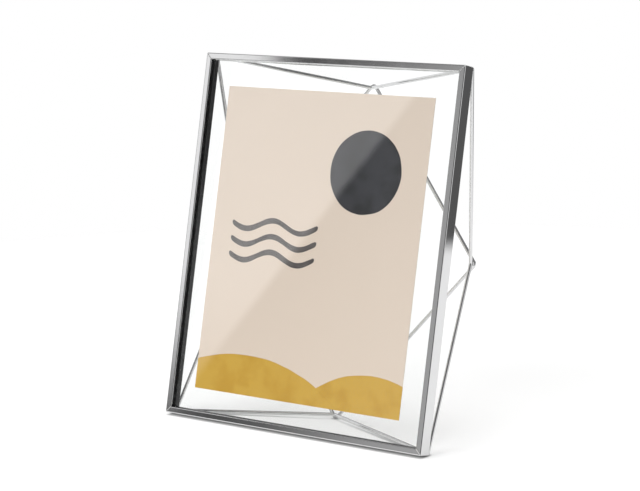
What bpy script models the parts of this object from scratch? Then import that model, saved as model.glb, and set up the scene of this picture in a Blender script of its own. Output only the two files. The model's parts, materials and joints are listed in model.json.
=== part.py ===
"""A metal photo frame that floats a print between two panes of glass and stands on a bent wire stand.

Everything is modelled in the plane of the frame: X runs to the right, Y up the face and Z out of the
face towards the viewer, and zero is the middle of the front face. One empty, frame_stance, then tips
that plane back until the bottom rail and the wire stand both touch the floor. All sizes are in metres.
"""

import math

import bmesh
import bpy
from mathutils import Matrix, Vector

# Print and panes
PRINT_WIDTH = 0.2032
PRINT_HEIGHT = 0.2540
PRINT_THICKNESS = 0.0003
PRINT_DROP = 0.0013  # the print's middle lies this far below the frame's
GLASS_THICKNESS = 0.0020
GLASS_ARRIS = 0.0002  # ground edge all round a pane
GLASS_RECESS = 0.0010  # the panes' top edges stop this far short of the top rail's outer face

# Rails
FRAME_WIDTH = 0.2540
FRAME_HEIGHT = 0.3048
RAIL_FACE = 0.0053  # width of a rail seen from the front
RAIL_DEPTH = 0.0127
RAIL_EDGE_RADIUS = 0.0007
RAIL_LIP = 0.0017  # rail in front of the groove that holds the panes
GROOVE_DEPTH = 0.0030

# Wire stand
WIRE_DIAMETER = 0.0030
STAND_DEPTH = 0.06985  # front face of the rails to the back of the diamond wire
TOP_BEND_INSET = 0.0153  # outer face of the top rail to the bend of the top wire
SIDE_BEND_INSET = 0.0138  # outer face of a side rail to the bend of its wire
STAY_BEND_RADIUS = 0.0040
DIAMOND_BEND_RADIUS = 0.0030
DIAMOND_SEAT_ANGLE = math.radians(33)  # how far out of straight back the diamond lies from the bends
WIRE_CORNER_INSET = 0.0002  # wires stop this far inside the rails' outer faces
WIRE_CORNER_DEPTH = 0.0009  # two wires' centre lines meet this far behind a corner of the rails

# Clearances
JOINT_GAP = 0.0003  # between pieces that are brazed together or rest on each other
GLASS_GAP = 0.0003  # on each face of the panes and of the print
GLASS_SIDE_GAP = 0.0005  # between the panes' edges and the bottoms of the side grooves

# Fineness of the round shapes
RAIL_EDGE_STEPS = 2
BEND_STEPS = 6
WIRE_BEVEL_RESOLUTION = 6

# Sizes that follow from the ones above
WIRE_RADIUS = WIRE_DIAMETER / 2
HALF_WIDTH = FRAME_WIDTH / 2
HALF_HEIGHT = FRAME_HEIGHT / 2
RAIL_WEB = RAIL_FACE - GROOVE_DEPTH
GROOVE_WIDTH = 2 * GLASS_THICKNESS + PRINT_THICKNESS + 4 * GLASS_GAP
DIAMOND_SEAT = WIRE_DIAMETER + JOINT_GAP
DIAMOND_DEPTH = STAND_DEPTH - WIRE_RADIUS
STAY_BEND_DEPTH = DIAMOND_DEPTH - DIAMOND_SEAT * math.cos(DIAMOND_SEAT_ANGLE)
TOP_BEND = HALF_HEIGHT - TOP_BEND_INSET
SIDE_BEND = HALF_WIDTH - SIDE_BEND_INSET
DIAMOND_OUTSET = DIAMOND_SEAT * math.sin(DIAMOND_SEAT_ANGLE)
DIAMOND_TOP = TOP_BEND + DIAMOND_OUTSET
DIAMOND_SIDE = SIDE_BEND + DIAMOND_OUTSET

# Colours, linear
CHROME = (0.62, 0.62, 0.63)
CLEAR = (0.95, 0.98, 0.97)
PAPER = (0.74, 0.62, 0.51)


def clear_scene():
    """Takes every object out of the open scene."""
    for obj in list(bpy.data.objects):
        bpy.data.objects.remove(obj, do_unlink=True)


def new_collection(name):
    collection = bpy.data.collections.new(name)
    bpy.context.scene.collection.children.link(collection)
    return collection


def finish(obj, colour, metallic, roughness, transmission=0.0):
    """Gives a piece its own surface."""
    material = bpy.data.materials.new(obj.name + "_finish")
    material.use_nodes = True
    surface = material.node_tree.nodes["Principled BSDF"]
    surface.inputs["Base Color"].default_value = (*colour, 1.0)
    surface.inputs["Metallic"].default_value = metallic
    surface.inputs["Roughness"].default_value = roughness
    surface.inputs["Transmission Weight"].default_value = transmission
    obj.data.materials.clear()
    obj.data.materials.append(material)


def add_object(name, mesh, collection, stance, location=(0, 0, 0)):
    obj = bpy.data.objects.new(name, mesh)
    obj.location = location
    obj.parent = stance
    collection.objects.link(obj)
    return obj


def box(size):
    """A box of the given width, height and depth about its own middle."""
    solid = bmesh.new()
    bmesh.ops.create_cube(solid, size=1.0, matrix=Matrix.Diagonal((*size, 1.0)))
    return solid


def to_mesh(solid, name):
    mesh = bpy.data.meshes.new(name)
    solid.to_mesh(mesh)
    solid.free()
    return mesh


def slice_off(solid, point, normal):
    """Cuts away what lies on the normal's side of a plane, and closes the cut."""
    everything = solid.verts[:] + solid.edges[:] + solid.faces[:]
    cut = bmesh.ops.bisect_plane(
        solid, geom=everything, plane_co=point, plane_no=normal, clear_outer=True
    )
    rim = [piece for piece in cut["geom_cut"] if isinstance(piece, bmesh.types.BMEdge)]
    bmesh.ops.holes_fill(solid, edges=rim, sides=0)


# Rails


def glass_space(cutters, stance):
    """The room for the panes: a groove in the side and bottom rails, and a slot right through the top one."""
    width = FRAME_WIDTH - 2 * RAIL_WEB
    bottom = RAIL_WEB - HALF_HEIGHT
    top = HALF_HEIGHT + RAIL_FACE
    mesh = to_mesh(box((width, top - bottom, GROOVE_WIDTH)), "glass_space")
    middle = (0, (top + bottom) / 2, -RAIL_LIP - GROOVE_WIDTH / 2)
    cutter = add_object("glass_space", mesh, cutters, stance, middle)
    cutter.hide_render = True
    cutter.display_type = "WIRE"
    return cutter


def mitre(solid, centre, across, up, keeps_sideways):
    """Cuts a rail's end at 45 degrees through the frame's outer corner on that side."""
    corner = Vector((across * HALF_WIDTH, up * HALF_HEIGHT, 0)) - centre
    normal = Vector((across, -up, 0)).normalized()
    if keeps_sideways:
        normal.negate()
    slice_off(solid, corner - normal * JOINT_GAP / 2, normal)


def make_rail(name, across, up, cutter, collection, stance):
    """One mitred rail: across is -1 or 1 for a side rail, up is -1 or 1 for the bottom or top one."""
    lies_flat = across == 0
    length = FRAME_WIDTH if lies_flat else FRAME_HEIGHT
    overlong = length + 2 * RAIL_FACE
    size = (overlong, RAIL_FACE, RAIL_DEPTH) if lies_flat else (RAIL_FACE, overlong, RAIL_DEPTH)
    centre = Vector(
        (across * (HALF_WIDTH - RAIL_FACE / 2), up * (HALF_HEIGHT - RAIL_FACE / 2), -RAIL_DEPTH / 2)
    )
    solid = box(size)
    long_edges = [edge for edge in solid.edges if edge.calc_length() > length]
    bmesh.ops.bevel(
        solid,
        geom=long_edges,
        offset=RAIL_EDGE_RADIUS,
        segments=RAIL_EDGE_STEPS,
        profile=0.5,
        affect="EDGES",
    )
    for side in (-1, 1):
        mitre(solid, centre, across or side, up or side, keeps_sideways=not lies_flat)
    rail = add_object(name, to_mesh(solid, name), collection, stance, centre)
    groove = rail.modifiers.new("glass_groove", "BOOLEAN")
    groove.operation = "DIFFERENCE"
    groove.object = cutter
    finish(rail, CHROME, metallic=1.0, roughness=0.18)
    return rail


# Panes and print


def make_pane(name, depth, collection, stance):
    """A pane of glass with its front face at the given depth behind the frame's face."""
    width = FRAME_WIDTH - 2 * RAIL_WEB - 2 * GLASS_SIDE_GAP
    bottom = RAIL_WEB + JOINT_GAP - HALF_HEIGHT
    top = HALF_HEIGHT - GLASS_RECESS
    solid = box((width, top - bottom, GLASS_THICKNESS))
    bmesh.ops.bevel(solid, geom=solid.edges[:], offset=GLASS_ARRIS, segments=1, affect="EDGES")
    middle = (0, (top + bottom) / 2, -depth - GLASS_THICKNESS / 2)
    pane = add_object(name, to_mesh(solid, name), collection, stance, middle)
    finish(pane, CLEAR, metallic=0.0, roughness=0.02, transmission=1.0)
    return pane


def make_print(depth, collection, stance):
    solid = box((PRINT_WIDTH, PRINT_HEIGHT, PRINT_THICKNESS))
    middle = (0, -PRINT_DROP, -depth - PRINT_THICKNESS / 2)
    sheet = add_object("photo_print", to_mesh(solid, "photo_print"), collection, stance, middle)
    finish(sheet, PAPER, metallic=0.0, roughness=0.6)
    return sheet


# Wire stand


def arc(centre, across, outward, radius, half_turn):
    """Points of an arc about the outward direction, from one side of it to the other."""
    points = []
    for step in range(BEND_STEPS + 1):
        angle = half_turn * (2 * step / BEND_STEPS - 1)
        points.append(centre + radius * (math.sin(angle) * across + math.cos(angle) * outward))
    return points


def wire_curve(name, path, closed):
    """A round wire along a path of points."""
    curve = bpy.data.curves.new(name, "CURVE")
    curve.dimensions = "3D"
    curve.twist_mode = "Z_UP"
    curve.bevel_depth = WIRE_RADIUS
    curve.bevel_resolution = WIRE_BEVEL_RESOLUTION
    curve.use_fill_caps = not closed
    spline = curve.splines.new("POLY")
    spline.points.add(len(path) - 1)
    for point, place in zip(spline.points, path):
        point.co = (*place, 1.0)
    spline.use_cyclic_u = closed
    return curve


def solid_of_curve(curve):
    """The curve's tube as a closed solid, with its end caps joined to its sides."""
    guide = bpy.data.objects.new("wire_guide", curve)
    bpy.context.scene.collection.objects.link(guide)
    evaluated = guide.evaluated_get(bpy.context.evaluated_depsgraph_get())
    mesh = bpy.data.meshes.new_from_object(evaluated)
    solid = bmesh.new()
    solid.from_mesh(mesh)
    bmesh.ops.remove_doubles(solid, verts=solid.verts[:], dist=JOINT_GAP / 100)
    bpy.data.objects.remove(guide)
    bpy.data.meshes.remove(mesh)
    return solid


def smooth(mesh):
    """Shades the round stretches smooth and keeps the cut ends sharp."""
    mesh.shade_smooth()
    mesh.set_sharp_from_angle(angle=math.radians(40))


def stay_bend(across, up):
    """The point that a stay wire's centre line turns at, on the side of the frame that is named."""
    return Vector((across * SIDE_BEND, up * TOP_BEND, -STAY_BEND_DEPTH))


def wire_corner(across, up):
    """Where the centre lines of two stay wires meet, behind a corner of the rails."""
    inset = WIRE_RADIUS + WIRE_CORNER_INSET
    depth = RAIL_DEPTH + WIRE_CORNER_DEPTH
    return Vector((across * (HALF_WIDTH - inset), up * (HALF_HEIGHT - inset), -depth))


def make_stay(name, across, up, collection, stance):
    """A wire from one corner of the rails out to its bend behind the frame and on to the next corner."""
    ends = [wire_corner(across or side, up or side) for side in (-1, 1)]
    middle = (ends[0] + ends[1]) / 2
    bend = stay_bend(across, up)
    along = (ends[1] - ends[0]).normalized()
    outward = (bend - middle).normalized()
    centre = bend - outward * STAY_BEND_RADIUS
    reach = (ends[0] - centre).length
    half_span = (ends[1] - ends[0]).length / 2
    rise = (centre - middle).length
    half_turn = math.atan2(rise, half_span) + math.asin(STAY_BEND_RADIUS / reach)
    path = arc(centre, along, outward, STAY_BEND_RADIUS, half_turn)
    overrun = 2 * WIRE_DIAMETER
    path.insert(0, ends[0] + (ends[0] - path[0]).normalized() * overrun)
    path.append(ends[1] + (ends[1] - path[-1]).normalized() * overrun)

    solid = solid_of_curve(wire_curve(name, path, closed=False))
    slice_off(solid, Vector((0, 0, -RAIL_DEPTH - JOINT_GAP)), Vector((0, 0, 1)))
    for side, end in zip((-1, 1), ends):
        own_leg = (bend - end).normalized()
        neighbour = stay_bend(0, up or side) if up == 0 else stay_bend(across or side, 0)
        other_leg = (neighbour - end).normalized()
        normal = (other_leg - own_leg).normalized()
        slice_off(solid, end - normal * JOINT_GAP / 2, normal)
    mesh = to_mesh(solid, name)
    mesh.transform(Matrix.Translation(-bend))
    smooth(mesh)
    stay = add_object(name, mesh, collection, stance, bend)
    finish(stay, CHROME, metallic=1.0, roughness=0.15)
    return stay


def make_diamond(collection, stance):
    """The closed wire that ties the four stays' bends: a rhombus pulled round four pegs of one radius."""
    peg_up = DIAMOND_TOP - DIAMOND_BEND_RADIUS
    peg_out = DIAMOND_SIDE - DIAMOND_BEND_RADIUS
    turn_up = math.atan2(peg_up, peg_out)
    turn_out = math.pi / 2 - turn_up
    right = Vector((1, 0, 0))
    up = Vector((0, 1, 0))
    path = []
    for outward, across, reach, half_turn in (
        (up, right, peg_up, turn_up),
        (right, -up, peg_out, turn_out),
        (-up, -right, peg_up, turn_up),
        (-right, up, peg_out, turn_out),
    ):
        path += arc(outward * reach, across, outward, DIAMOND_BEND_RADIUS, half_turn)
    curve = wire_curve("diamond_wire", path, closed=True)
    diamond = add_object("diamond_wire", curve, collection, stance, (0, 0, -DIAMOND_DEPTH))
    finish(diamond, CHROME, metallic=1.0, roughness=0.15)
    return diamond


# Stance


def lean_angle():
    """How far back the frame tips when a rail's rounded edge and the diamond's lowest bend share one floor."""
    edge = Vector((RAIL_EDGE_RADIUS - HALF_HEIGHT, RAIL_EDGE_RADIUS - RAIL_DEPTH))
    bend = Vector((-DIAMOND_TOP, -DIAMOND_DEPTH))
    between = bend - edge
    rise = (WIRE_RADIUS - RAIL_EDGE_RADIUS) / between.length
    return math.acos(rise) - math.atan2(-between.y, between.x)


def place_on_floor(stance, pieces):
    """Leans the frame back, then sets its lowest point on the floor and its box's middle over zero."""
    stance.rotation_euler = (math.pi / 2 - lean_angle(), 0, 0)
    bpy.context.view_layer.update()
    graph = bpy.context.evaluated_depsgraph_get()
    corners = []
    for piece in pieces:
        evaluated = piece.evaluated_get(graph)
        mesh = evaluated.to_mesh()
        corners += [evaluated.matrix_world @ vertex.co for vertex in mesh.vertices]
        evaluated.to_mesh_clear()
    depths = [corner.y for corner in corners]
    lowest = min(corner.z for corner in corners)
    stance.location = (0, -(min(depths) + max(depths)) / 2, -lowest)


def build():
    clear_scene()
    frame = new_collection("photo_frame")
    cutters = new_collection("cutters")
    stance = bpy.data.objects.new("frame_stance", None)
    frame.objects.link(stance)

    cutter = glass_space(cutters, stance)
    pieces = [
        make_rail("top_rail", 0, 1, cutter, frame, stance),
        make_rail("bottom_rail", 0, -1, cutter, frame, stance),
        make_rail("left_rail", -1, 0, cutter, frame, stance),
        make_rail("right_rail", 1, 0, cutter, frame, stance),
    ]
    front_depth = RAIL_LIP + GLASS_GAP
    print_depth = front_depth + GLASS_THICKNESS + GLASS_GAP
    rear_depth = print_depth + PRINT_THICKNESS + GLASS_GAP
    pieces += [
        make_pane("front_glass", front_depth, frame, stance),
        make_print(print_depth, frame, stance),
        make_pane("rear_glass", rear_depth, frame, stance),
        make_stay("top_wire", 0, 1, frame, stance),
        make_stay("bottom_wire", 0, -1, frame, stance),
        make_stay("left_wire", -1, 0, frame, stance),
        make_stay("right_wire", 1, 0, frame, stance),
        make_diamond(frame, stance),
    ]
    place_on_floor(stance, pieces)


build()
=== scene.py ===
import json
import math

import bmesh
import bpy
import numpy as np
from mathutils import Matrix, Vector


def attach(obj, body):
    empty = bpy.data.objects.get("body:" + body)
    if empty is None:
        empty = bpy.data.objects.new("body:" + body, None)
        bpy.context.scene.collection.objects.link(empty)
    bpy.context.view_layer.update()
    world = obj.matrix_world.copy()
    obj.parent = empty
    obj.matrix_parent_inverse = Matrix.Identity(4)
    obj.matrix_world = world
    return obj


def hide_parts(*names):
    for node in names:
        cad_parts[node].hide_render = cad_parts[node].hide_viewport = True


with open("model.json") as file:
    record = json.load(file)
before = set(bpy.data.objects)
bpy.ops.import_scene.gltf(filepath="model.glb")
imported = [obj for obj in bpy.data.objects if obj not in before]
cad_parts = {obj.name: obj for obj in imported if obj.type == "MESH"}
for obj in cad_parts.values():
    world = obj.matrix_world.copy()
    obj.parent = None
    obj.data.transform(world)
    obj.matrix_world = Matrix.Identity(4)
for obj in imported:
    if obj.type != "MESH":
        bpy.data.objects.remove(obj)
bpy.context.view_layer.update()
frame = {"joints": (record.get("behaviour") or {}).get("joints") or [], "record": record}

# Side and bottom rails
# Three of the four bars round the picture: mitred steel channel, brazed and plated bright. The open side
# holds the panes, and its inside is near black. Each mitre's seam shows as a thin paler line: the bars'
# rounded ends are given a pale, rougher finish, a painted highlight.

RAIL_FACE = 0.0053
RAIL_DEPTH = 0.0127
RAIL_LIP = 0.0017
GROOVE_WIDTH = 0.0055
GROOVE_DEPTH = 0.0030
RAIL_WEB = RAIL_FACE - GROOVE_DEPTH
FRAME_HEIGHT = 0.3048
CORNER_STEPS = 6
CORNER_SUPPORT = 0.00006
RAIL_EDGE_RADIUS = 0.0008
GROOVE_LIP_RADIUS = 0.00025
GROOVE_FLOOR_RADIUS = 0.0003
MITRE_GAP = 0.00003
MITRE_ROUND = 0.0005
MITRE_STEPS = 4
SHARP_ANGLE = math.radians(35)
GRAIN_RELIEF = 0.02
GRAIN_HEIGHT = 0.00005

ACROSS = np.array([1.0, 0.0, 0.0])
UP = np.array(frame["joints"][0]["axis"])
OUT = np.cross(ACROSS, UP)
mount_place = {mount["name"]: np.array(mount["pos_m"]) for mount in frame["record"]["mounts"]}
FACE_MIDDLE = (mount_place["left_face"] + mount_place["right_face"]) / 2 + OUT * RAIL_DEPTH / 2
HALF_WIDTH = (mount_place["right_face"] - mount_place["left_face"])[0] / 2
HALF_HEIGHT = FRAME_HEIGHT / 2


def place(points):
    """World places of points given across, up and out of the face: middle + x ACROSS + y UP + z OUT."""
    return FACE_MIDDLE + points @ np.array([ACROSS, UP, OUT])


def length_along(points):
    """Distance from the first point to each point, adding the straight steps between them."""
    steps = np.linalg.norm(np.diff(points, axis=0), axis=1)
    return np.concatenate([[0.0], np.cumsum(steps)])


def shade(mesh):
    """Shades a mesh smooth, apart from its sharp edges."""
    mesh.shade_smooth()
    mesh.set_sharp_from_angle(angle=SHARP_ANGLE)


def skin(name, grid, closed=False):
    """Mesh of a grid of points (ring, step, place): one quad between each point and the next ring and step.

    Each ring closes on itself. The last ring joins the first when closed, and otherwise both ends are capped.
    The UV map holds metres along the rings' middles and metres round the middle ring.
    """
    rings, steps = grid.shape[:2]
    index = np.arange(rings * steps).reshape(rings, steps)
    near = index if closed else index[:-1]
    far = np.roll(index, -1, axis=0)[: len(near)]
    quads = np.stack([near, np.roll(near, -1, axis=1), np.roll(far, -1, axis=1), far], axis=-1)
    caps = [] if closed else [index[0].tolist(), index[-1].tolist()]
    mesh = bpy.data.meshes.new(name)
    mesh.from_pydata(place(grid.reshape(-1, 3)), [], quads.reshape(-1, 4).tolist() + caps)

    middles = grid.mean(axis=1)
    along = length_along(np.concatenate([middles, middles[:1]]) if closed else middles)
    widest = grid[rings // 2]
    around = length_along(np.concatenate([widest, widest[:1]]))
    u = np.stack([along[:-1], along[:-1], along[1:], along[1:]], axis=-1)[:, None, :]
    v = np.stack([around[:-1], around[1:], around[1:], around[:-1]], axis=-1)[None, :, :]
    uv = np.zeros((len(mesh.loops), 2), np.float32)
    walls = quads.size
    uv[:walls, 0] = np.broadcast_to(u, quads.shape).reshape(-1)
    uv[:walls, 1] = np.broadcast_to(v, quads.shape).reshape(-1)
    mesh.uv_layers.new(name="along_and_round").data.foreach_set("uv", uv.reshape(-1))

    shell = bmesh.new()
    shell.from_mesh(mesh)
    bmesh.ops.recalc_face_normals(shell, faces=shell.faces[:])
    shell.to_mesh(mesh)
    shell.free()
    shade(mesh)
    return mesh


def put(name, data):
    """Puts an object with its data in the scene."""
    thing = bpy.data.objects.new(name, data)
    bpy.context.scene.collection.objects.link(thing)
    return thing


def add_piece(name, mesh, body, slot, materials, *nodes):
    """Puts a finished mesh in the scene with its finishes, in place of its CAD nodes and riding on a body."""
    piece = put(name, mesh)
    for material in materials:
        mesh.materials.append(material)
    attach(piece, body)
    if nodes:
        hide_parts(*nodes)
    return piece


def rounded(corners, radii):
    """Closed outline with each corner turned on its radius r.

    A turn's points are corner + r (p + q) - r (q cos t + p sin t), t from 0 to 90 degrees, where p and q
    point to the corners before and after. One more point lies just before and just after each turn, so
    that the flats between them shade flat.
    """
    back = np.roll(corners, 1, axis=0) - corners
    ahead = np.roll(corners, -1, axis=0) - corners
    p = (back / np.linalg.norm(back, axis=1, keepdims=True))[:, None]
    q = (ahead / np.linalg.norm(ahead, axis=1, keepdims=True))[:, None]
    turn = np.linspace(0, math.pi / 2, CORNER_STEPS + 1)[None, :, None]
    r = radii[:, None, None]
    corner = corners[:, None]
    arc = corner + r * (p + q) - r * (q * np.cos(turn) + p * np.sin(turn))
    before = corner + (r + CORNER_SUPPORT) * p
    after = corner + (r + CORNER_SUPPORT) * q
    return np.concatenate([before, arc, after], axis=1).reshape(-1, 2)


def outward(outline):
    """Unit normal of a closed outline at each point: the tangent turned 90 degrees, away from the inside."""
    tangent = np.roll(outline, -1, axis=0) - np.roll(outline, 1, axis=0)
    tangent /= np.linalg.norm(tangent, axis=1, keepdims=True)
    ahead = np.roll(outline, -1, axis=0)
    area = np.sum(outline[:, 0] * ahead[:, 1] - outline[:, 1] * ahead[:, 0]) / 2
    return np.sign(area) * np.stack([tangent[:, 1], -tangent[:, 0]], axis=1)


def mitred(outline, length):
    """Rings (inset, depth, place along the rail) of a bar whose ends are mitred and softly rounded.

    A point of inset a ends at length / 2 - a. Over the last r of the bar the outline shrinks by
    r (1 - cos t) while the ring moves on by r sin t, t from 0 to 90 degrees. One more ring lies just
    before them, so that the long flats shade flat.
    """
    turn = np.linspace(0, math.pi / 2, MITRE_STEPS)
    shrink = np.concatenate([[0.0], MITRE_ROUND * (1 - np.cos(turn))])
    back = np.concatenate([[MITRE_ROUND + CORNER_SUPPORT], MITRE_ROUND * (1 - np.sin(turn))])
    ring = outline - shrink[:, None, None] * outward(outline)
    end = length / 2 - MITRE_GAP - back[:, None] - outline[:, 0]
    far_end = np.concatenate([ring, end[..., None]], axis=-1)
    near_end = far_end[::-1] * np.array([1.0, 1.0, -1.0])
    return np.concatenate([near_end, far_end])


def upright(rings, side):
    """Plane points of a side rail: inset from the outer face goes sideways, and the rail runs up."""
    return np.stack([side * (HALF_WIDTH - rings[..., 0]), rings[..., 2], -rings[..., 1]], axis=-1)


def lying(rings, side):
    """Plane points of a top or bottom rail: inset goes up or down, and the rail runs across."""
    return np.stack([rings[..., 2], side * (HALF_HEIGHT - rings[..., 0]), -rings[..., 1]], axis=-1)


class Tree:
    """A node tree, with short ways to add the nodes that the finishes and the room are made of."""

    def __init__(self, tree):
        self.nodes = tree.nodes
        self.link = tree.links.new

    def feed(self, node, values):
        """Feeds a node's sockets: another node's output is linked, and a number or colour is set."""
        for name, value in values.items():
            socket = node.inputs[name]
            if isinstance(value, bpy.types.NodeSocket):
                self.link(value, socket)
            elif socket.type == "RGBA":
                socket.default_value = (*value, 1.0)
            else:
                socket.default_value = value

    def add(self, kind, values=None, **settings):
        """Adds a node, makes its settings and feeds its sockets."""
        node = self.nodes.new("ShaderNode" + kind)
        for setting, choice in settings.items():
            setattr(node, setting, choice)
        self.feed(node, values or {})
        return node

    def calc(self, operation, *values):
        """Result of a sum on one to three values."""
        return self.add("Math", dict(enumerate(values)), operation=operation).outputs["Value"]

    def noise(self, at, scale, detail):
        """Soft noise between 0 and 1, read at a place."""
        return self.add("TexNoise", {"Vector": at, "Scale": scale, "Detail": detail}).outputs["Fac"]

    def colour(self, share, under, over):
        """The colour under, with that share of it covered by the colour over."""
        values = {"Factor": share, "A": under, "B": over}
        return self.add("Mix", values, data_type="RGBA").outputs["Result"]

    def tone(self, share, under, over):
        """The number under, with that share of it covered by the number over."""
        return self.add("Mix", {"Factor": share, "A": under, "B": over}).outputs["Result"]

    def ramp(self, value, low, high, to_low=0.0, to_high=1.0, curve="LINEAR"):
        """The value, moved from the range low to high into the range to_low to to_high."""
        values = {"Value": value, "From Min": low, "From Max": high, "To Min": to_low, "To Max": to_high}
        return self.add("MapRange", values, interpolation_type=curve).outputs["Result"]

    def on_piece(self):
        """Place on the piece, in metres. At rest it is the place in the whole object too."""
        return self.add("TexCoord").outputs["Object"]

    def on_map(self, name):
        """Place on the piece's own UV map."""
        return self.add("UVMap", uv_map=name).outputs["UV"]

    def bump(self, height, strength, distance):
        """Normals of a fine relief."""
        values = {"Strength": strength, "Distance": distance, "Height": height}
        return self.add("Bump", values).outputs["Normal"]


def new_group(name, takes, gives):
    """Shader group with named sockets: (group, its tree, what it is given, what it puts out)."""
    group = bpy.data.node_groups.new(name, "ShaderNodeTree")
    for way, sockets in (("INPUT", takes), ("OUTPUT", gives)):
        for socket, kind in sockets.items():
            group.interface.new_socket(name=socket, in_out=way, socket_type="NodeSocket" + kind)
    given = group.nodes.new("NodeGroupInput").outputs
    result = group.nodes.new("NodeGroupOutput").inputs
    return group, Tree(group), given, result


def metal_grain():
    """Shader group: fine lines along a drawn or rolled bar, and faint clouds left by polishing.

    Along and Round stretch the UV map, in metres, to the size of the lines. The metal is roughest where
    both the lines and the clouds are high.
    """
    takes = {
        "Along": "Float",
        "Round": "Float",
        "Light": "Color",
        "Dark": "Color",
        "Smoothest": "Float",
        "Roughest": "Float",
    }
    gives = {"Color": "Color", "Roughness": "Float", "Lines": "Float"}
    group, tree, given, result = new_group("metal_grain", takes, gives)
    stretch = tree.add("CombineXYZ", {"X": given["Along"], "Y": given["Round"]}).outputs["Vector"]
    stretching = {0: tree.on_map("along_and_round"), 1: stretch}
    stretched = tree.add("VectorMath", stretching, operation="MULTIPLY").outputs["Vector"]
    lines = tree.noise(stretched, scale=1.0, detail=3.0)
    clouds = tree.noise(tree.on_piece(), scale=55.0, detail=2.0)
    both = tree.calc("MULTIPLY", clouds, lines)
    rough = tree.ramp(both, low=0.1, high=0.4, to_low=given["Smoothest"], to_high=given["Roughest"])
    tree.link(tree.colour(clouds, given["Dark"], given["Light"]), result["Color"])
    tree.link(rough, result["Roughness"])
    tree.link(lines, result["Lines"])
    return group


grain_group = metal_grain()


def new_material(name):
    """Makes a material: (material, its Principled BSDF, its tree)."""
    material = bpy.data.materials.new(name)
    material.use_nodes = True
    tree = Tree(material.node_tree)
    return material, tree.nodes["Principled BSDF"], tree


def metal(name, light, dark, smoothest, roughest, metallic=1.0, lines=(60.0, 9000.0)):
    """A bar's metal finish, from the shared grain. The lines are given per metre along and round the bar."""
    material, surface, tree = new_material(name)
    values = {
        "Along": lines[0],
        "Round": lines[1],
        "Light": light,
        "Dark": dark,
        "Smoothest": smoothest,
        "Roughest": roughest,
    }
    grain = tree.add("Group", values, node_tree=grain_group).outputs
    finish = {
        "Base Color": grain["Color"],
        "Roughness": grain["Roughness"],
        "Metallic": metallic,
        "Normal": tree.bump(grain["Lines"], GRAIN_RELIEF, GRAIN_HEIGHT),
    }
    tree.feed(surface, finish)
    return material


bright_rail = metal(
    "bright_plated_rail",
    light=(0.765, 0.765, 0.77),
    dark=(0.735, 0.735, 0.74),
    smoothest=0.035,
    roughest=0.065,
)
channel_dark = metal(
    "channel_dark",
    light=(0.013, 0.013, 0.014),
    dark=(0.006, 0.006, 0.007),
    smoothest=0.22,
    roughest=0.34,
    metallic=0.0,
)
# The bars' rounded mitre ends: a pale, rougher finish, painted highlight along each seam
seam_painted_highlight = metal(
    "seam_painted_highlight",
    light=(0.66, 0.66, 0.655),
    dark=(0.60, 0.60, 0.595),
    smoothest=0.35,
    roughest=0.45,
    metallic=0.15,
)

groove_near = RAIL_LIP
groove_far = RAIL_LIP + GROOVE_WIDTH
channel_corners = np.array(
    [
        [0, 0],
        [0, RAIL_DEPTH],
        [RAIL_FACE, RAIL_DEPTH],
        [RAIL_FACE, groove_far],
        [RAIL_WEB, groove_far],
        [RAIL_WEB, groove_near],
        [RAIL_FACE, groove_near],
        [RAIL_FACE, 0],
    ]
)
outer, lip, floor_turn = RAIL_EDGE_RADIUS, GROOVE_LIP_RADIUS, GROOVE_FLOOR_RADIUS
channel_radii = np.array([outer, outer, outer, lip, floor_turn, floor_turn, lip, outer])
channel = rounded(channel_corners, channel_radii)


def finish_walls(mesh, outline, inside):
    """Gives each wall its finish: the first outside, the second inside, and the third on the rounded ends.

    The outside walls are the bands between the two rounded ends, and the end caps count as rounded ends.
    The inside walls keep the second finish right into the ends.
    """
    bands = len(mesh.polygons) // len(outline)
    finish = np.full(len(mesh.polygons), 2, np.int32)
    walls = finish[: bands * len(outline)].reshape(bands, len(outline))
    walls[MITRE_STEPS - 1 : 1 - MITRE_STEPS] = 0
    walls[:, inside] = 1
    mesh.polygons.foreach_set("material_index", finish)


def inner_side(outline):
    """True for each wall on the channel's inner side: past the face's rounded edge, and in the groove."""
    inset = (outline[:, 0] + np.roll(outline[:, 0], -1)) / 2
    past_edge = inset > RAIL_FACE - CORNER_SUPPORT
    in_groove = (
        (inset > RAIL_WEB - CORNER_SUPPORT)
        & (outline[:, 1] > groove_near - CORNER_SUPPORT)
        & (outline[:, 1] < groove_far + CORNER_SUPPORT)
    )
    return past_edge | in_groove


side_rings = mitred(channel, FRAME_HEIGHT)
flat_rings = mitred(channel, 2 * HALF_WIDTH)
for rail_name, grid in (
    ("left_rail", upright(side_rings, -1)),
    ("right_rail", upright(side_rings, 1)),
    ("bottom_rail", lying(flat_rings, -1)),
):
    rail_mesh = skin("rounded_" + rail_name, grid)
    finish_walls(rail_mesh, channel, inner_side(channel))
    finishes = (bright_rail, channel_dark, seam_painted_highlight)
    add_piece("plated_" + rail_name, rail_mesh, "frame", "rail_chrome", finishes, rail_name)

# Top rail
# The fourth bar has no channel but a slot milled right through it, so that the panes and the print can
# be dropped in from above. The slot's walls are pale and matt, painted light that keeps the slot from
# showing as a dark line under the rail.

SLOT_OVERRUN = 0.002

# Pale matt slot walls: painted light in place of the light that reaches into the slot
slot_painted_light = metal(
    "slot_painted_light",
    light=(0.80, 0.80, 0.79),
    dark=(0.72, 0.72, 0.71),
    smoothest=0.5,
    roughest=0.6,
    metallic=0.0,
)

bar_corners = channel_corners[[0, 1, 2, 7]]
bar = rounded(bar_corners, np.full(4, RAIL_EDGE_RADIUS))
bar_rings = mitred(bar, 2 * HALF_WIDTH)
top_mesh = skin("rounded_top_rail", lying(bar_rings, 1))
finish_walls(top_mesh, bar, np.zeros(len(bar), bool))
top_finishes = (bright_rail, slot_painted_light, seam_painted_highlight)
top_rail = add_piece("plated_top_rail", top_mesh, "frame", "rail_chrome", top_finishes, "top_rail")

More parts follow.
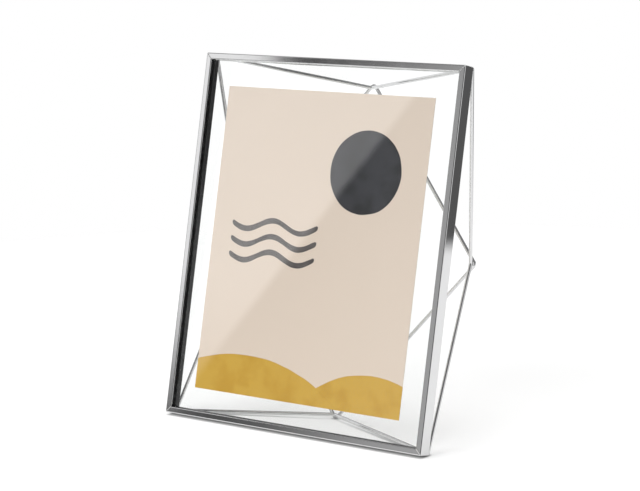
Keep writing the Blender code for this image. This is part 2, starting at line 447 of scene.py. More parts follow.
slot_half = HALF_WIDTH - RAIL_WEB
slot_plan = np.array([[-1, 0], [1, 0], [1, 1], [-1, 1]])
slot_rings = np.array([-SLOT_OVERRUN, RAIL_FACE + SLOT_OVERRUN])
slot_grid = np.stack(
    [
        np.broadcast_to(slot_plan[:, 0] * slot_half, (2, 4)),
        np.broadcast_to(HALF_HEIGHT - slot_rings[:, None], (2, 4)),
        np.broadcast_to(-groove_near - slot_plan[:, 1] * GROOVE_WIDTH, (2, 4)),
    ],
    axis=-1,
)
slot_mesh = skin("slot_shape", slot_grid)
slot_mesh.materials.append(slot_painted_light)
slot_shape = put("slot_shape", slot_mesh)
milling = top_rail.modifiers.new("slot", "BOOLEAN")
milling.operation = "DIFFERENCE"
milling.object = slot_shape
milled_rail = top_rail.evaluated_get(bpy.context.evaluated_depsgraph_get())
milled_mesh = bpy.data.meshes.new_from_object(milled_rail)
top_rail.modifiers.clear()
top_rail.data = milled_mesh
bpy.data.objects.remove(slot_shape)
shade(milled_mesh)

# Panes
# Two plates of clear float glass with ground edges, which drop into the channels from above and lie on
# the bottom rail's web. The print floats between them. The rear one is coated so that it hardly mirrors.

GLASS_THICKNESS = 0.0020
GLASS_GAP = 0.0003
GLASS_SIDE_GAP = 0.0005
GLASS_REST_GAP = 0.0003
GLASS_RECESS = 0.0010
GLASS_ARRIS = 0.0002
PRINT_THICKNESS = 0.0003
PANE_CLEAR = (1.0, 1.0, 1.0)
PANE_BLOOM = (0.99, 0.998, 0.994)


def plate(half_width, bottom, top, front, thickness, arris):
    """Rings of a flat plate from front to back: rectangles, the first and last drawn in by the arris."""
    inset = np.array([arris, 0, 0, arris])
    depth = front + np.array([0, arris, thickness - arris, thickness])
    turn = np.array([[-1, -1], [1, -1], [1, 1], [-1, 1]])
    x = turn[None, :, 0] * (half_width - inset[:, None])
    y = (top + bottom) / 2 + turn[None, :, 1] * ((top - bottom) / 2 - inset[:, None])
    z = np.broadcast_to(-depth[:, None], x.shape)
    return np.stack([x, y, z], axis=-1)


def let_light_through(surface, tree):
    """Lets the rays that gather light pass straight through the glass, so that what lies behind it is lit."""
    path = tree.add("LightPath").outputs
    gathering = tree.calc("MAXIMUM", path["Is Shadow Ray"], path["Is Diffuse Ray"])
    clear = tree.add("BsdfTransparent").outputs["BSDF"]
    mix = tree.add("MixShader", {"Fac": gathering, 1: surface.outputs["BSDF"], 2: clear})
    tree.link(mix.outputs["Shader"], tree.nodes["Material Output"].inputs["Surface"])


def glass(name, light, dark, smoothest, roughest, bending):
    """Clear glass with a faint bloom of dust and wiping marks, which change its tint and shine a little."""
    material, surface, tree = new_material(name)
    marks = tree.noise(tree.on_piece(), scale=28.0, detail=4.0)
    finish = {
        "Base Color": tree.colour(marks, dark, light),
        "Roughness": tree.ramp(marks, low=0.0, high=1.0, to_low=smoothest, to_high=roughest),
        "Transmission Weight": 1.0,
        "IOR": bending,
    }
    tree.feed(surface, finish)
    let_light_through(surface, tree)
    return material


front_clear = glass("front_clear_glass", PANE_CLEAR, PANE_BLOOM, smoothest=0.0, roughest=0.003, bending=1.6)
rear_clear = glass("rear_coated_glass", PANE_CLEAR, PANE_BLOOM, smoothest=0.0, roughest=0.003, bending=1.1)
ground_edge = glass(
    "ground_glass_edge",
    light=(0.62, 0.80, 0.74),
    dark=(0.50, 0.72, 0.65),
    smoothest=0.25,
    roughest=0.4,
    bending=1.6,
)

pane_half = slot_half - GLASS_SIDE_GAP
pane_bottom = RAIL_WEB + GLASS_REST_GAP - HALF_HEIGHT
pane_top = HALF_HEIGHT - GLASS_RECESS
front_depth = RAIL_LIP + GLASS_GAP
print_depth = front_depth + GLASS_THICKNESS + GLASS_GAP
rear_depth = print_depth + PRINT_THICKNESS + GLASS_GAP
for pane_name, body, depth, clear in (
    ("front_glass", "front_pane", front_depth, front_clear),
    ("rear_glass", "rear_pane", rear_depth, rear_clear),
):
    pane_grid = plate(pane_half, pane_bottom, pane_top, depth, GLASS_THICKNESS, GLASS_ARRIS)
    pane_mesh = skin("ground_" + pane_name, pane_grid)
    edge_faces = np.ones(len(pane_mesh.polygons), np.int32)
    edge_faces[-2:] = 0
    pane_mesh.polygons.foreach_set("material_index", edge_faces)
    add_piece("clear_" + pane_name, pane_mesh, body, "clear_glass", (clear, ground_edge), pane_name)

# Print
# A sheet of heavy matt paper with an abstract design in water-based inks, pinched between the panes. The
# design is plain generic shapes: a dark moon, three rolling lines and two yellow dunes.

PRINT_WIDTH = 0.2032
PRINT_HEIGHT = 0.2540
PRINT_DROP = 0.0013
PRINT_ARRIS = 0.00003
MM = 0.001
PAPER = (0.78, 0.663, 0.555)
PAPER_SHADE = (0.766, 0.644, 0.536)
PAPER_SHADING = 0.4
BACK_PAPER = (0.83, 0.81, 0.77)
BACK_PAPER_SHADE = (0.77, 0.75, 0.70)
MUSTARD = (0.645, 0.395, 0.055)
MUSTARD_POOL = (0.58, 0.335, 0.036)
CHARCOAL = (0.035, 0.036, 0.043)
CHARCOAL_POOL = (0.015, 0.016, 0.019)
GREY = (0.125, 0.112, 0.107)
GREY_POOL = (0.070, 0.062, 0.060)
MOON_PLACE = (44 * MM, 64 * MM)
MOON_RADIUS = 34 * MM
DUNES = (((72 * MM, -188 * MM), 92 * MM), ((-52 * MM, -246 * MM), 152 * MM))
LINE_HEIGHTS = (14 * MM, 1 * MM, -12 * MM)
LINE_WIDTH = 4.6 * MM
LINE_START = -80 * MM
LINE_END = 2 * MM
LINE_SWING = 4.2 * MM
LINE_WAVE = 54 * MM
EDGE_WOBBLE = 1.6 * MM
EDGE_BLEED = 0.2 * MM
POOL_WIDTH = 1.6 * MM
POOL_DEPTH = 0.35
CLOUDS_FROM = 0.42
CLOUDS_TO = 0.66
NOISE_MIDDLE = 0.5
TOOTH_RELIEF = 0.15
TOOTH_HEIGHT = 0.00005


def ink_wash():
    """Shader group: one ink laid over what is under it.

    Distance is how far a point lies outside the shape's edge, in metres, and is negative inside. The edge
    bleeds a little into the paper, and the ink pools darker beside it and in soft clouds.
    """
    takes = {"Under": "Color", "Distance": "Float", "Clouds": "Float", "Ink": "Color", "Pool": "Color"}
    group, tree, given, result = new_group("ink_wash", takes, {"Color": "Color"})
    inked = tree.ramp(given["Distance"], EDGE_BLEED, -EDGE_BLEED, curve="SMOOTHSTEP")
    beside = tree.ramp(given["Distance"], -POOL_WIDTH, 0.0, to_high=POOL_DEPTH, curve="SMOOTHSTEP")
    cloudy = tree.ramp(given["Clouds"], CLOUDS_FROM, CLOUDS_TO, curve="SMOOTHSTEP")
    pooled = tree.add("Math", {0: beside, 1: cloudy}, operation="ADD", use_clamp=True).outputs["Value"]
    ink = tree.colour(pooled, given["Ink"], given["Pool"])
    tree.link(tree.colour(inked, given["Under"], ink), result["Color"])
    return group


def printed_paper():
    """Matt paper with the moon, the rolling lines and the dunes, on the sheet's own UV map in metres."""
    material, surface, tree = new_material("printed_paper")
    calc = tree.calc
    spot = tree.on_map("sheet_metres")
    split = tree.add("SeparateXYZ", {"Vector": spot}).outputs
    x = split["X"]
    y = split["Y"]
    clouds = tree.noise(spot, scale=46.0, detail=8.0)
    unevenness = tree.noise(spot, scale=45.0, detail=2.0)
    wobble = calc("MULTIPLY", calc("SUBTRACT", unevenness, NOISE_MIDDLE), EDGE_WOBBLE)

    def edge_distance(dx, dy, radius):
        """Distance outside a round edge: the root of dx squared plus dy squared, less the radius."""
        reach = calc("SQRT", calc("ADD", calc("MULTIPLY", dx, dx), calc("MULTIPLY", dy, dy)))
        return calc("ADD", calc("SUBTRACT", reach, radius), wobble)

    def disc(centre, radius):
        """Distance outside a circle."""
        return edge_distance(calc("SUBTRACT", x, centre[0]), calc("SUBTRACT", y, centre[1]), radius)

    def rolling_line(height):
        """Distance outside a round-ended stroke that swings by a sine as it crosses the sheet."""
        swing = calc("MULTIPLY", calc("SINE", calc("MULTIPLY", x, 2 * math.pi / LINE_WAVE)), LINE_SWING)
        dy = calc("SUBTRACT", y, calc("ADD", swing, height))
        past_start = calc("SUBTRACT", LINE_START, x)
        past_end = calc("SUBTRACT", x, LINE_END)
        dx = calc("MAXIMUM", calc("MAXIMUM", past_start, past_end), 0.0)
        return edge_distance(dx, dy, LINE_WIDTH / 2)

    shading = calc("MULTIPLY", tree.noise(spot, scale=14.0, detail=2.0), PAPER_SHADING)
    colour = tree.colour(shading, PAPER, PAPER_SHADE)
    wash = ink_wash()
    shapes = [(disc(MOON_PLACE, MOON_RADIUS), CHARCOAL, CHARCOAL_POOL)]
    shapes += [(rolling_line(height), GREY, GREY_POOL) for height in LINE_HEIGHTS]
    shapes += [(disc(centre, radius), MUSTARD, MUSTARD_POOL) for centre, radius in DUNES]
    for distance, ink, pool in shapes:
        values = {"Under": colour, "Distance": distance, "Clouds": clouds, "Ink": ink, "Pool": pool}
        colour = tree.add("Group", values, node_tree=wash).outputs["Color"]
    tooth = tree.noise(spot, scale=2400.0, detail=2.0)
    finish = {
        "Base Color": colour,
        "Roughness": tree.ramp(tooth, low=0.0, high=1.0, to_low=0.55, to_high=0.75),
        "Normal": tree.bump(tooth, TOOTH_RELIEF, TOOTH_HEIGHT),
    }
    tree.feed(surface, finish)
    return material


def plain_paper():
    """The sheet's unprinted back and edges: the same paper, paler, with its soft clouds."""
    material, surface, tree = new_material("plain_paper")
    clouds = tree.noise(tree.on_piece(), scale=60.0, detail=6.0)
    tree.feed(surface, {"Base Color": tree.colour(clouds, BACK_PAPER, BACK_PAPER_SHADE), "Roughness": 0.7})
    return material


print_low = -PRINT_DROP - PRINT_HEIGHT / 2
print_high = -PRINT_DROP + PRINT_HEIGHT / 2
print_grid = plate(PRINT_WIDTH / 2, print_low, print_high, print_depth, PRINT_THICKNESS, PRINT_ARRIS)
print_mesh = skin("sheet_of_paper", print_grid)
corner_of = np.empty(len(print_mesh.loops), np.int32)
print_mesh.loops.foreach_get("vertex_index", corner_of)
sheet_uv = (print_grid.reshape(-1, 3)[:, :2] + np.array([0.0, PRINT_DROP]))[corner_of]
print_mesh.uv_layers.remove(print_mesh.uv_layers[0])
sheet_map = print_mesh.uv_layers.new(name="sheet_metres")
sheet_map.data.foreach_set("uv", sheet_uv.astype(np.float32).reshape(-1))
unprinted = np.ones(len(print_mesh.polygons), np.int32)
unprinted[-2] = 0
print_mesh.polygons.foreach_set("material_index", unprinted)
papers = (printed_paper(), plain_paper())
add_piece("paper_print", print_mesh, "print", "print_paper", papers, "photo_print")

# Stay wires
# Four lengths of plated round steel wire, one behind each rail. Each runs from one corner of the rails
# out to a bend behind the frame and on to the next corner, and is brazed to the rails' backs.

WIRE_RADIUS = 0.0015
STAND_DEPTH = 0.06985
TOP_BEND = HALF_HEIGHT - 0.0153
SIDE_BEND = HALF_WIDTH - 0.0138
STAY_BEND_RADIUS = 0.0040
SEAT = 0.0033
SEAT_ANGLE = math.radians(33)
WIRE_CORNER_INSET = WIRE_RADIUS + 0.0002
WIRE_CORNER_DEPTH = RAIL_DEPTH + 0.0009
WIRE_SIDES = 32
BEND_POINTS = 17
TIP_RINGS = 7
TIP_POLE = math.radians(8)
LONG_STRAIGHT = 0.003
STRAIGHT_SUPPORT = 0.0001
DIAMOND_DEPTH = STAND_DEPTH - WIRE_RADIUS
STAY_BEND_DEPTH = DIAMOND_DEPTH - SEAT * math.cos(SEAT_ANGLE)

bright_wire = metal(
    "bright_plated_wire",
    light=(0.765, 0.765, 0.77),
    dark=(0.725, 0.725, 0.73),
    smoothest=0.035,
    roughest=0.065,
    lines=(30.0, 7000.0),
)


def bent(start, bend, end, radius):
    """Points of a wire from start to end, turned round the bend's outside on a radius.

    The turn's centre lies back from the bend along the mean of the two legs, at r. Its points are
    centre + r (along sin t + outward cos t), where t runs to where each leg touches the turn.
    """
    middle = (start + end) / 2
    along = (end - start) / np.linalg.norm(end - start)
    outward_way = (bend - middle) / np.linalg.norm(bend - middle)
    centre = bend - radius * outward_way
    reach = np.linalg.norm(start - centre)
    rise = (centre - middle) @ outward_way
    half_turn = math.atan2(rise, np.linalg.norm(end - start) / 2) + math.asin(radius / reach)
    t = np.linspace(-half_turn, half_turn, BEND_POINTS)[:, None]
    return centre + radius * (along * np.sin(t) + outward_way * np.cos(t))


def steadied(path, closed=False):
    """The path with a point just inside each end of every long straight, so that it shades straight."""
    near = path if closed else path[:-1]
    far = np.roll(path, -1, axis=0)[: len(near)]
    run = np.linalg.norm(far - near, axis=1, keepdims=True)
    step = STRAIGHT_SUPPORT * (far - near) / run
    long = run[:, 0] > LONG_STRAIGHT
    points = np.stack([near, near + step, far - step], axis=1)
    kept = points[np.stack([np.ones_like(long), long, long], axis=1)]
    return kept if closed else np.concatenate([kept, path[-1:]])


def tube(path, flat_normal, radii, closed=False):
    """Rings round a flat path: path + r (normal cos a + side sin a), side square to the path and the normal.

    The path's way at a point is the mean of the unit steps into it and out of it.
    """
    step = np.diff(path, axis=0, append=path[:1])
    step /= np.linalg.norm(step, axis=1, keepdims=True)
    if not closed:
        step[-1] = step[-2]
    ahead = step + np.roll(step, 1, axis=0)
    if not closed:
        ahead[0] = step[0]
    side = np.cross(ahead, flat_normal)
    side /= np.linalg.norm(side, axis=1, keepdims=True)
    a = np.linspace(0, 2 * math.pi, WIRE_SIDES, endpoint=False)[None, :, None]
    r = np.broadcast_to(radii, len(path))[:, None, None]
    return path[:, None] + r * (flat_normal * np.cos(a) + side[:, None] * np.sin(a))


def with_tips(path, radius):
    """The path with a round tip at each end, and each point's radius.

    The tip's rings have radius r sin t and lie r cos t past the path's end, t from near 0 to 90 degrees.
    """
    t = np.linspace(TIP_POLE, math.pi / 2, TIP_RINGS)
    past = radius * np.cos(t)[:, None]
    first = (path[0] - path[1]) / np.linalg.norm(path[0] - path[1])
    last = (path[-1] - path[-2]) / np.linalg.norm(path[-1] - path[-2])
    points = np.concatenate([path[0] + past * first, path[1:-1], path[-1] + past[::-1] * last])
    radii = np.concatenate([radius * np.sin(t), np.full(len(path) - 2, radius), radius * np.sin(t)[::-1]])
    return points, radii


def wire_corner(side, up):
    """Where two stays' centre lines meet behind a corner of the rails."""
    x = side * (HALF_WIDTH - WIRE_CORNER_INSET)
    y = up * (HALF_HEIGHT - WIRE_CORNER_INSET)
    return np.array([x, y, -WIRE_CORNER_DEPTH])


for stay_name, side, up in (
    ("top_wire", 0, 1),
    ("bottom_wire", 0, -1),
    ("left_wire", -1, 0),
    ("right_wire", 1, 0),
):
    start = wire_corner(side or -1, up or -1)
    end = wire_corner(side or 1, up or 1)
    bend = np.array([side * SIDE_BEND, up * TOP_BEND, -STAY_BEND_DEPTH])
    turn_points = bent(start, bend, end, STAY_BEND_RADIUS)
    stay_path = steadied(np.concatenate([[start], turn_points, [end]]))
    flat_normal = np.cross(end - start, bend - start)
    flat_normal /= np.linalg.norm(flat_normal)
    tipped, radii = with_tips(stay_path, WIRE_RADIUS)
    stay_mesh = skin("round_" + stay_name, tube(tipped, flat_normal, radii))
    add_piece("plated_" + stay_name, stay_mesh, "frame", "wire_chrome", (bright_wire,), stay_name)

# Diamond wire
# One closed loop of the same wire, bent to a diamond and brazed across the four stays' bends. It ties
# the stand together, and its lowest bend is the foot that the frame leans on.

DIAMOND_BEND_RADIUS = 0.0030
diamond_outset = SEAT * math.sin(SEAT_ANGLE)
diamond_top = TOP_BEND + diamond_outset
diamond_side = SIDE_BEND + diamond_outset


def rhombus(reach_up, reach_out, radius):
    """Closed flat path pulled round four pegs: peg + r (across sin t + outward cos t) at each corner."""
    peg_up = reach_up - radius
    peg_out = reach_out - radius
    turn_up = math.atan2(peg_up, peg_out)
    turn_out = math.pi / 2 - turn_up
    outward_ways = np.array([[0, 1], [1, 0], [0, -1], [-1, 0]])
    across_ways = np.array([[1, 0], [0, -1], [-1, 0], [0, 1]])
    pegs = outward_ways * np.array([peg_up, peg_out, peg_up, peg_out])[:, None]
    half_turns = np.array([turn_up, turn_out, turn_up, turn_out])
    t = half_turns[:, None] * np.linspace(-1, 1, BEND_POINTS)[None]
    turns = across_ways[:, None] * np.sin(t)[..., None] + outward_ways[:, None] * np.cos(t)[..., None]
    flat = (pegs[:, None] + radius * turns).reshape(-1, 2)
    return np.concatenate([flat, np.full((len(flat), 1), -DIAMOND_DEPTH)], axis=1)


diamond_path = steadied(rhombus(diamond_top, diamond_side, DIAMOND_BEND_RADIUS), closed=True)
diamond_grid = tube(diamond_path, np.array([0.0, 0.0, 1.0]), WIRE_RADIUS, closed=True)
diamond_mesh = skin("round_diamond_wire", diamond_grid, closed=True)
add_piece("plated_diamond_wire", diamond_mesh, "frame", "wire_chrome", (bright_wire,), "diamond_wire")

# Brazed joints
# Small smooth beads of braze, ground and plated with the rest. One lies behind each corner of the rails,
# where two stays meet, and one fills the crook where the diamond crosses each stay's bend.

CORNER_BEAD_INSET = 0.0025
CORNER_BEAD_RADIUS = 0.0023
CORNER_BEAD_HEIGHT = 0.0014
BEND_BEAD_LENGTH = 0.0034
BEND_BEAD_WIDTH = 0.0013
BEND_BEAD_RISE = 0.0017
BEAD_RINGS = 14
BEAD_POLE = math.radians(6)


def bead(centre, long_way, second_way, third_way):
    """Egg-shaped bead: centre + a cos t + (b cos s + c sin s) sin t, for its three half axes a, b and c."""
    t = np.linspace(BEAD_POLE, math.pi - BEAD_POLE, BEAD_RINGS)[:, None, None]
    s = np.linspace(0, 2 * math.pi, WIRE_SIDES, endpoint=False)[None, :, None]
    return centre + long_way * np.cos(t) + (second_way * np.cos(s) + third_way * np.sin(s)) * np.sin(t)


corner_names = {(-1, 1): "top_left", (1, 1): "top_right", (-1, -1): "bottom_left", (1, -1): "bottom_right"}
for (side, up), corner_name in corner_names.items():
    x = side * (HALF_WIDTH - CORNER_BEAD_INSET)
    y = up * (HALF_HEIGHT - CORNER_BEAD_INSET)
    centre = np.array([x, y, -RAIL_DEPTH])
    x_way, y_way, z_way = np.diag([CORNER_BEAD_RADIUS, CORNER_BEAD_RADIUS, CORNER_BEAD_HEIGHT])
    bead_mesh = skin("bead_behind_" + corner_name, bead(centre, z_way, x_way, y_way))
    add_piece(corner_name + "_braze", bead_mesh, "frame", "wire_chrome", (bright_wire,))

for bend_name, side, up in (("top", 0, 1), ("bottom", 0, -1), ("left", -1, 0), ("right", 1, 0)):
    stay_apex = np.array([side * SIDE_BEND, up * TOP_BEND, -STAY_BEND_DEPTH])
    diamond_apex = np.array([side * diamond_side, up * diamond_top, -DIAMOND_DEPTH])
    rise_way = (diamond_apex - stay_apex) / np.linalg.norm(diamond_apex - stay_apex)
    long_way = np.array([abs(up), abs(side), 0.0])
    wide_way = np.cross(rise_way, long_way)
    bead_grid = bead(
        (stay_apex + diamond_apex) / 2,
        long_way * BEND_BEAD_LENGTH,
        wide_way * BEND_BEAD_WIDTH,
        rise_way * BEND_BEAD_RISE,
    )
    bead_mesh = skin("bead_at_" + bend_name, bead_grid)
    add_piece(bend_name + "_bend_braze", bead_mesh, "frame", "wire_chrome", (bright_wire,))

# Camera
# A long lens a little above the frame and to its right, as in the photograph. Its place is the one from
# which the print's corners and the rails' edges fall where the photograph has them.

TARGET = Vector((0.0070, -0.0276, 0.1517))
CAMERA_DISTANCE = 1.694
CAMERA_SIDE = math.radians(35.107)
CAMERA_HEIGHT = math.radians(9.439)
CAMERA_ROLL = math.radians(-0.285)
LENS = 117.9
PHOTO_WIDTH = 640
PHOTO_HEIGHT = 491
SENSOR = 36.0

toward_camera = Vector(
    (
        math.sin(CAMERA_SIDE) * math.cos(CAMERA_HEIGHT),
        -math.cos(CAMERA_SIDE) * math.cos(CAMERA_HEIGHT),
        math.sin(CAMERA_HEIGHT),
    )
)
camera = put("camera", bpy.data.cameras.new("camera"))
camera.data.lens = LENS
camera.data.sensor_width = SENSOR
camera.data.clip_start = 0.05
camera.data.clip_end = 30.0
level_turn = (-toward_camera).to_track_quat("-Z", "Y").to_matrix()
camera_turn = level_turn @ Matrix.Rotation(CAMERA_ROLL, 3, "Z")
camera.matrix_world = Matrix.Translation(TARGET + CAMERA_DISTANCE * toward_camera) @ camera_turn.to_4x4()
bpy.context.scene.camera = camera

# Floor and studio
# A round pale sheet on the ground, against a plain white background. The plated faces and the glass
# mirror a room: white walls to the left and right, a dim ceiling, and a dim front with one soft box.

FLOOR_RADIUS = 1.05
FLOOR_RINGS = 12
FLOOR_SPOKES = 96
FLOOR_INNER_SHARE = 0.02
FLOOR_MIDDLE = (0.03, 0.10, 0.0)
FLOOR_FADE_FROM = 0.85
FLOOR_FADE_TO = 1.01
FLOOR_COLOUR = (0.66, 0.66, 0.66)
# The sheet's colour close under the frame: painted contact shadow
FLOOR_PAINTED_SHADE = (0.25, 0.25, 0.25)
FLOOR_LIFT = 0.36
FLOOR_CONTACT = 0.0028
FLOOR_MIRRORED = 0.85
FLOOR_MAKE_UP = 1.03
WHITE = (1.0, 1.0, 1.0)

floor_turn_angle = np.linspace(0, 2 * math.pi, FLOOR_SPOKES, endpoint=False)
floor_reach = np.linspace(FLOOR_INNER_SHARE, 1.0, FLOOR_RINGS)[:, None] * FLOOR_RADIUS
floor_points = np.stack(
    [
        FLOOR_MIDDLE[0] + floor_reach * np.cos(floor_turn_angle),
        FLOOR_MIDDLE[1] + floor_reach * np.sin(floor_turn_angle),
        np.zeros((FLOOR_RINGS, FLOOR_SPOKES)),
    ],
    axis=-1,
)
floor_index = np.arange(FLOOR_RINGS * FLOOR_SPOKES).reshape(FLOOR_RINGS, FLOOR_SPOKES)
floor_near = floor_index[:-1]
floor_far = floor_index[1:]
floor_quads = np.stack(
    [floor_near, floor_far, np.roll(floor_far, -1, axis=1), np.roll(floor_near, -1, axis=1)], axis=-1
)
floor_faces = floor_quads.reshape(-1, 4).tolist() + [floor_index[0].tolist()]
floor_mesh = bpy.data.meshes.new("floor")
floor_mesh.from_pydata(floor_points.reshape(-1, 3), [], floor_faces)
floor = put("floor", floor_mesh)

# The sheet's lift brings it close to white where it is seen, a little less in a mirror, and a little more
# through the panes, to make up for what they take. Close under the frame the lift fades and the sheet's
# colour darkens, a painted contact shadow, and the sheet itself fades out before its rim
floor_material, floor_surface, sheet = new_material("pale_sheet")
floor_path = sheet.add("LightPath").outputs
floor_seen_straight = sheet.calc("MAXIMUM", floor_path["Is Camera Ray"], floor_path["Is Transmission Ray"])
floor_seen_mirrored = sheet.calc("MULTIPLY", floor_path["Is Glossy Ray"], FLOOR_MIRRORED)
floor_seen = sheet.calc("MAXIMUM", floor_seen_straight, floor_seen_mirrored)
floor_open = sheet.add("AmbientOcclusion", {"Distance": FLOOR_CONTACT}).outputs["AO"]
pane_share = (FLOOR_MAKE_UP - 1.0) / FLOOR_LIFT
floor_make_up = sheet.calc("MULTIPLY_ADD", floor_path["Is Transmission Ray"], pane_share, 1.0)
open_lift = sheet.calc("MULTIPLY", floor_open, sheet.calc("MULTIPLY", floor_make_up, FLOOR_LIFT))
floor_finish = {
    "Base Color": sheet.colour(floor_open, FLOOR_PAINTED_SHADE, FLOOR_COLOUR),
    "Roughness": 0.9,
    "Specular IOR Level": 0.0,
    "Emission Color": WHITE,
    "Emission Strength": sheet.calc("MULTIPLY", floor_seen, open_lift),
}
sheet.feed(floor_surface, floor_finish)
way_out = sheet.add("VectorMath", {0: sheet.on_piece(), 1: FLOOR_MIDDLE}, operation="DISTANCE")
floor_fade = sheet.ramp(way_out.outputs["Value"], FLOOR_FADE_FROM, FLOOR_FADE_TO, curve="SMOOTHSTEP")
floor_gone = sheet.add("BsdfTransparent").outputs["BSDF"]
floor_mix = sheet.add("MixShader", {"Fac": floor_fade, 1: floor_surface.outputs["BSDF"], 2: floor_gone})
sheet.link(floor_mix.outputs["Shader"], sheet.nodes["Material Output"].inputs["Surface"])
floor_mesh.materials.append(floor_material)

# Where the mirror images of the soft box, the flag, the strip and the dim front lie in the photograph, in
# its pixels. BOX_FOOT_LEFT is the share of the box's brightness that is left at its foot, and DIM_SLANT is
# how far left the dim front's shades move for each pixel down
BOX_EDGE_TOP = (412.0, 100.0)
BOX_EDGE_LOW = (302.0, 241.0)
BOX_EDGE_SOFT = 5.5
BOX_LEFT = 162.0
BOX_LEFT_SOFT = 14.0
BOX_FOOT = 340.0
BOX_FOOT_SOFT = 78.0
BOX_FOOT_LEFT = 0.38
FLAG_LEFT = 274.0
FLAG_LEFT_SOFT = 18.0
FLAG_FOOT = 83.0
FLAG_FOOT_SOFT = 6.0
STRIP_LEFT_TOP = (207.0, 69.0)
STRIP_LEFT_LOW = (169.0, 405.0)
STRIP_RIGHT_TOP = (233.0, 69.0)
STRIP_RIGHT_LOW = (182.0, 405.0)
STRIP_SOFT = 1.5
DIM_FROM = 308.0
DIM_TO = 518.0
DIM_SLANT = 0.25
DIM_TOP = 58.0

# How bright each part of the room is, the way to it, and how far the seen direction points that way where
# the part begins and where it is whole. ROOM_LIGHT is the room's strength where it lights the object
BOX_TONE = 1.02
BOX_TONE_IN_GLASS = 1.14
BOX_FROM = 0.4
BOX_TO = 0.8
DIM_TONE = 0.10
GREY_TONE = 0.43
DIM_ROUND_FROM = 0.945
DIM_ROUND_TO = 0.985
ROOM_DARK = 0.11
ROOM_LEFT_WAY = math.radians(286)
LEFT_TONE = 1.0
LEFT_FROM = 0.70
LEFT_TO = 0.84
ROOM_RIGHT_WAY = math.radians(80)
RIGHT_TONE = 0.95
RIGHT_FROM = 0.82
RIGHT_TO = 0.92
CEILING_TONE = 0.26
CEILING_FROM = 0.50
CEILING_TO = 0.85
LEAST_AHEAD = 0.05
ROOM_LIGHT = 0.26
PANE_MAKE_UP = 1.12

focal_pixels = LENS / SENSOR * PHOTO_WIDTH
world = bpy.data.worlds.new("room")
bpy.context.scene.world = world
world.use_nodes = True
room = Tree(world.node_tree)
seen_way = room.add("TexCoord").outputs["Generated"]


def along_way(way):
    """How far the seen direction points along a way: their dot product."""
    return room.add("VectorMath", {0: seen_way, 1: way}, operation="DOT_PRODUCT").outputs["Value"]


def step_up(value, start, whole):
    """A soft step from 0 at the start to 1 where it is whole."""
    return room.ramp(value, start, whole, curve="SMOOTHSTEP")


def left_of(top, low, soft):
    """A soft step from 0 to 1 on going left over the line from a top point down to a low one."""
    run = Vector(low) - Vector(top)
    normal = Vector((-run.y, run.x)).normalized()
    down = room.calc("MULTIPLY_ADD", photo_y, normal.y, -normal.dot(Vector(top)))
    distance = room.calc("ADD", room.calc("MULTIPLY", photo_x, normal.x), down)
    return step_up(distance, -soft, soft)


# The camera's axes as the frame's face mirrors them, so that a direction in the room has the place in
# the photograph where that face shows it
face_out = Vector(OUT)
mirrored = [axis - 2 * axis.dot(face_out) * face_out for axis in camera_turn.col]
ahead_way = along_way(-mirrored[2])
ahead_clamped = room.calc("MAXIMUM", ahead_way, LEAST_AHEAD)
seen_x = room.calc("DIVIDE", along_way(mirrored[0]), ahead_clamped)
seen_y = room.calc("DIVIDE", along_way(mirrored[1]), ahead_clamped)
photo_x = room.calc("MULTIPLY_ADD", seen_x, focal_pixels, PHOTO_WIDTH / 2)
photo_y = room.calc("MULTIPLY_ADD", seen_y, -focal_pixels, PHOTO_HEIGHT / 2)

# The soft box, cut off by a slanting edge on the right, by a black flag over its upper right corner, and
# by its own left side, and fading towards its foot
inside_edge = left_of(BOX_EDGE_TOP, BOX_EDGE_LOW, BOX_EDGE_SOFT)
inside_left = step_up(photo_x, BOX_LEFT - BOX_LEFT_SOFT, BOX_LEFT + BOX_LEFT_SOFT)
height = room.calc("MULTIPLY", photo_y, -1.0)
above_foot = step_up(height, -FLAG_FOOT - FLAG_FOOT_SOFT, -FLAG_FOOT + FLAG_FOOT_SOFT)
past_flag = step_up(photo_x, FLAG_LEFT - FLAG_LEFT_SOFT, FLAG_LEFT + FLAG_LEFT_SOFT)
unflagged = room.calc("SUBTRACT", 1.0, room.calc("MULTIPLY", above_foot, past_flag))
foot = step_up(photo_y, BOX_FOOT - BOX_FOOT_SOFT, BOX_FOOT + BOX_FOOT_SOFT)
above_floor = room.calc("MULTIPLY_ADD", foot, BOX_FOOT_LEFT - 1.0, 1.0)
mirrored_side = step_up(ahead_way, BOX_FROM, BOX_TO)
box = room.calc("MULTIPLY", room.calc("MULTIPLY", inside_edge, inside_left), unflagged)
box = room.calc("MULTIPLY", room.calc("MULTIPLY", box, above_floor), mirrored_side)

# A narrow black strip keeps the soft box's glare off the glass in front of the left channel. The glass
# mirrors sharply and the plating a little softly, and by that the glass alone mirrors the strip, and
# mirrors the box a little brighter
right_of_strip = room.calc("SUBTRACT", 1.0, left_of(STRIP_RIGHT_TOP, STRIP_RIGHT_LOW, STRIP_SOFT))
beside_strip = room.calc("MAXIMUM", left_of(STRIP_LEFT_TOP, STRIP_LEFT_LOW, STRIP_SOFT), right_of_strip)
room_path = room.add("LightPath").outputs
in_glass = room_path["Is Singular Ray"]
in_metal = room.calc("SUBTRACT", 1.0, in_glass)
box = room.calc("MULTIPLY", box, room.calc("MAXIMUM", beside_strip, in_metal))
box_tone = room.tone(in_glass, BOX_TONE, BOX_TONE_IN_GLASS)

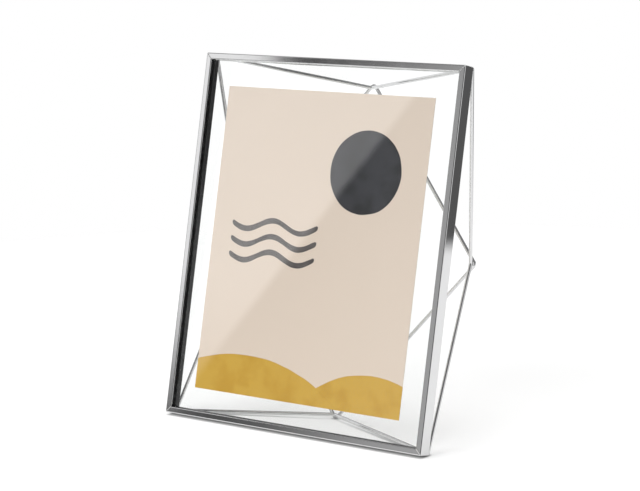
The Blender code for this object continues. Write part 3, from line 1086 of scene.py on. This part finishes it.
# The front of the room goes from nearly black to grey on the way right in the photograph, and the walls
# and the ceiling lie round it
from_top = room.calc("MULTIPLY_ADD", photo_y, DIM_SLANT, -DIM_SLANT * DIM_TOP)
slanted = room.calc("ADD", photo_x, from_top)
dim = room.ramp(slanted, DIM_FROM, DIM_TO, DIM_TONE, GREY_TONE, curve="SMOOTHSTEP")
left_way = Vector((math.sin(ROOM_LEFT_WAY), math.cos(ROOM_LEFT_WAY), 0.0))
right_way = Vector((math.sin(ROOM_RIGHT_WAY), math.cos(ROOM_RIGHT_WAY), 0.0))
up_way = Vector((0.0, 0.0, 1.0))
walls = room.tone(step_up(along_way(up_way), CEILING_FROM, CEILING_TO), ROOM_DARK, CEILING_TONE)
walls = room.tone(step_up(along_way(right_way), RIGHT_FROM, RIGHT_TO), walls, RIGHT_TONE)
walls = room.tone(step_up(along_way(left_way), LEFT_FROM, LEFT_TO), walls, LEFT_TONE)
front = room.tone(step_up(ahead_way, DIM_ROUND_FROM, DIM_ROUND_TO), walls, dim)
mirrored_room = room.tone(box, front, box_tone)

# The camera sees plain white, also through the panes, and what the metal and the glass mirror is the room
mirrored_before = room.calc("MINIMUM", room_path["Glossy Depth"], 1.0)
seen_straight = room.calc("MAXIMUM", room_path["Is Camera Ray"], room_path["Is Transmission Ray"])
seen_white = room.calc("MULTIPLY", seen_straight, room.calc("SUBTRACT", 1.0, mirrored_before))
make_up = room.calc("MULTIPLY_ADD", room_path["Is Transmission Ray"], PANE_MAKE_UP - 1.0, 1.0)
lit_or_mirrored = room.tone(room_path["Is Glossy Ray"], ROOM_LIGHT, mirrored_room)
room_strength = room.tone(seen_white, lit_or_mirrored, make_up)
room.feed(room.nodes["Background"], {"Color": WHITE, "Strength": room_strength})

# Each lamp's strength, the spread of its light, the way to it, and whether it casts a shadow. The top and
# shade lamps cast the soft shadows on the sheet, and the other two only fill in
LAMPS = {
    "top_lamp": (1.75, math.radians(42), Vector((-0.06, -0.03, 1.00)), True),
    "front_lamp": (0.64, math.radians(40), Vector((-0.35, -0.80, 0.50)), False),
    "shade_lamp": (1.00, math.radians(40), Vector((-0.15, -0.85, 0.50)), True),
    "back_lamp": (1.50, math.radians(30), Vector((0.15, 0.98, -0.05)), False),
}

for lamp_name, (strength, spread, way, shadow) in LAMPS.items():
    lamp = put(lamp_name, bpy.data.lights.new(lamp_name, "SUN"))
    lamp.data.energy = strength
    lamp.data.angle = spread
    lamp.data.use_shadow = shadow
    lamp.rotation_mode = "QUATERNION"
    lamp.rotation_quaternion = way.normalized().to_track_quat("Z", "Y")
    lamp.visible_glossy = False
    lamp.visible_transmission = False

bpy.context.scene.view_settings.view_transform = "Standard"
